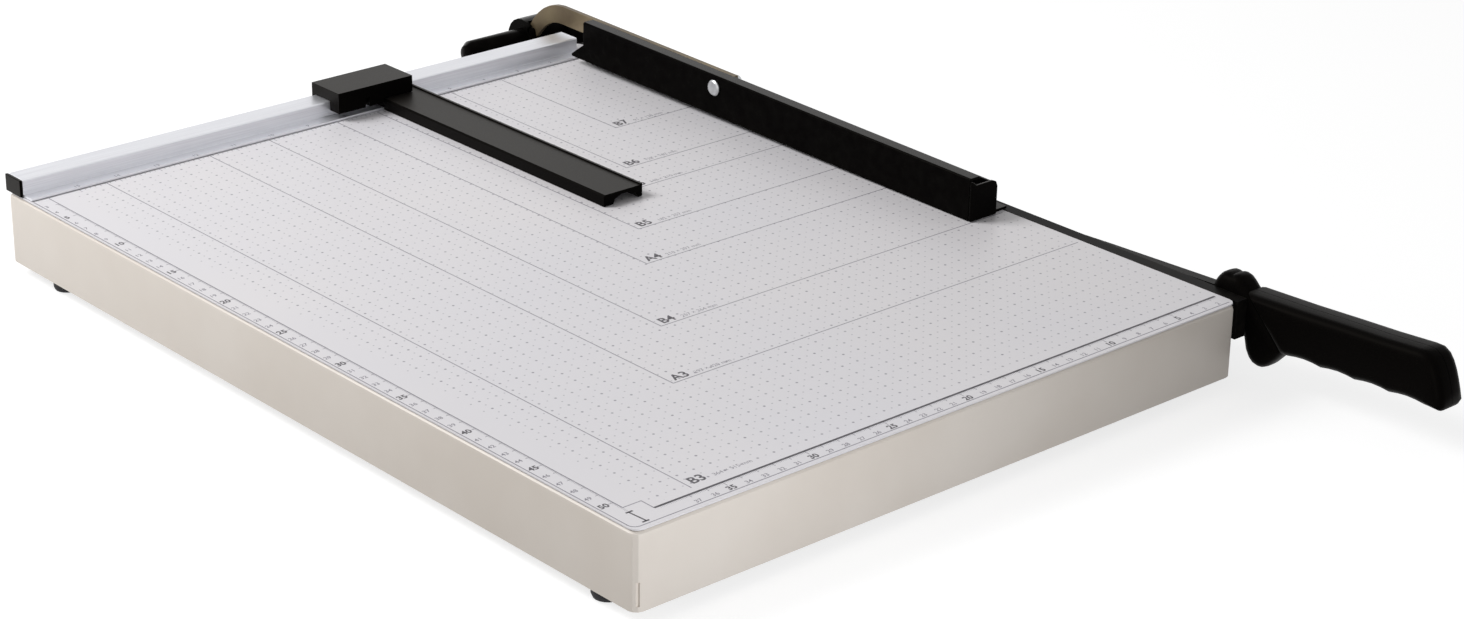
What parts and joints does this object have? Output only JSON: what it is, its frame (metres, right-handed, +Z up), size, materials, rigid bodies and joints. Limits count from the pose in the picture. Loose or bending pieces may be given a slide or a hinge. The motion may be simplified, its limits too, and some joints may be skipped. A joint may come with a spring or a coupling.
{
  "type": "paper trimmer",
  "caption": "Guillotine paper trimmer: steel table with printed size frames, rear fence with sliding gauge, fixed knife, hinged blade arm with grip and an automatic clamp bar.",
  "frame": {"origin": "centre of the bounding box in plan, on the plane the feet rest on", "axes": "+X to the right across the table towards the knife, +Y away from the user along the knife, +Z up"},
  "size_m": [0.4266, 0.7082, 0.0769],
  "materials": {
    "cream_paint": "semi-gloss cream powder coat",
    "printed_plate": "satin light grey plate with a printed measuring grid",
    "black_paint": "gloss black paint",
    "black_plastic": "moulded black plastic",
    "black_rubber": "matt black rubber",
    "satin_aluminium": "satin anodised extrusion",
    "tool_steel": "ground tool steel",
    "zinc_steel": "bright zinc plated steel",
    "yellow_zinc": "yellow passivated zinc plated steel",
    "bronze": "sintered bronze",
    "spring_steel": "oiled spring steel",
    "white_nylon": "natural nylon"
  },
  "bodies": {
    "base": {"base_tray": "cream_paint", "table_plate": "printed_plate", "fixed_knife": "tool_steel", "knife_mount_bar": "black_paint", "knife_bolt_1": "zinc_steel", "knife_bolt_2": "zinc_steel", "knife_bolt_3": "zinc_steel", "knife_bolt_4": "zinc_steel", "cross_brace_1": "zinc_steel", "cross_brace_2": "zinc_steel", "foot_front_left": "black_rubber", "foot_screw_front_left": "zinc_steel", "foot_rear_left": "black_rubber", "foot_screw_rear_left": "zinc_steel", "foot_front_right": "black_rubber", "foot_screw_front_right": "zinc_steel", "foot_rear_right": "black_rubber", "foot_screw_rear_right": "zinc_steel", "fence_rail": "satin_aluminium", "rail_end_cap": "black_plastic", "rail_screw_1": "zinc_steel", "rail_screw_2": "zinc_steel", "hinge_bracket": "black_paint", "bracket_bolt_1": "zinc_steel", "bracket_nut_1": "zinc_steel", "bracket_bolt_2": "zinc_steel", "bracket_nut_2": "zinc_steel", "bracket_bolt_3": "zinc_steel", "bracket_nut_3": "zinc_steel", "barrel_bush": "bronze", "lug_bush": "bronze"},
    "arm": {"pivot_shaft": "tool_steel", "dog_pin": "spring_steel", "shaft_nut": "zinc_steel", "shaft_washer": "zinc_steel", "balance_spring": "spring_steel", "blade_arm": "black_paint", "upper_blade": "tool_steel", "blade_screw_1": "zinc_steel", "blade_screw_2": "zinc_steel", "blade_screw_3": "zinc_steel", "blade_screw_4": "zinc_steel", "grip_left": "black_plastic", "grip_right": "black_plastic", "grip_screw_1": "zinc_steel", "grip_screw_2": "zinc_steel", "hilt_guard": "black_plastic"},
    "clamp_arm": {"clamp_hub": "black_paint", "lever_pin": "black_paint", "clamp_lever": "yellow_zinc"},
    "clamp": {"clamp_bar": "black_paint", "clamp_end_cap": "black_plastic", "clamp_rivet": "zinc_steel", "rivet_spacer_left": "zinc_steel", "rivet_spacer_right": "zinc_steel"},
    "gauge": {"gauge_arm": "black_plastic", "gauge_head": "black_plastic", "gauge_friction_pad": "white_nylon", "gauge_screw_1": "black_paint", "gauge_screw_2": "black_paint"}
  },
  "joints": [
    {"name": "arm_lift", "type": "hinge", "parent": "base", "child": "arm", "pos_m": [0.191, 0.34005, 0.0437], "axis": [-1, 0, 0], "range_deg": [0, 65]},
    {"name": "clamp_lift", "type": "hinge", "parent": "base", "child": "clamp_arm", "pos_m": [0.179, 0.34005, 0.0437], "axis": [-1, 0, 0], "range_deg": [0, 10]},
    {"name": "clamp_rock", "type": "hinge", "parent": "clamp_arm", "child": "clamp", "pos_m": [0.1742, 0.14545, 0.068], "axis": [-1, 0, 0], "range_deg": [0, 1.6]},
    {"name": "gauge_slide", "type": "slide", "parent": "base", "child": "gauge", "axis": [1, 0, 0], "range_m": [-0.195, 0.103]}
  ],
  "couplings": [
    {"joint": "clamp_lift", "follows": "arm_lift", "ratio": 0.15}
  ]
}
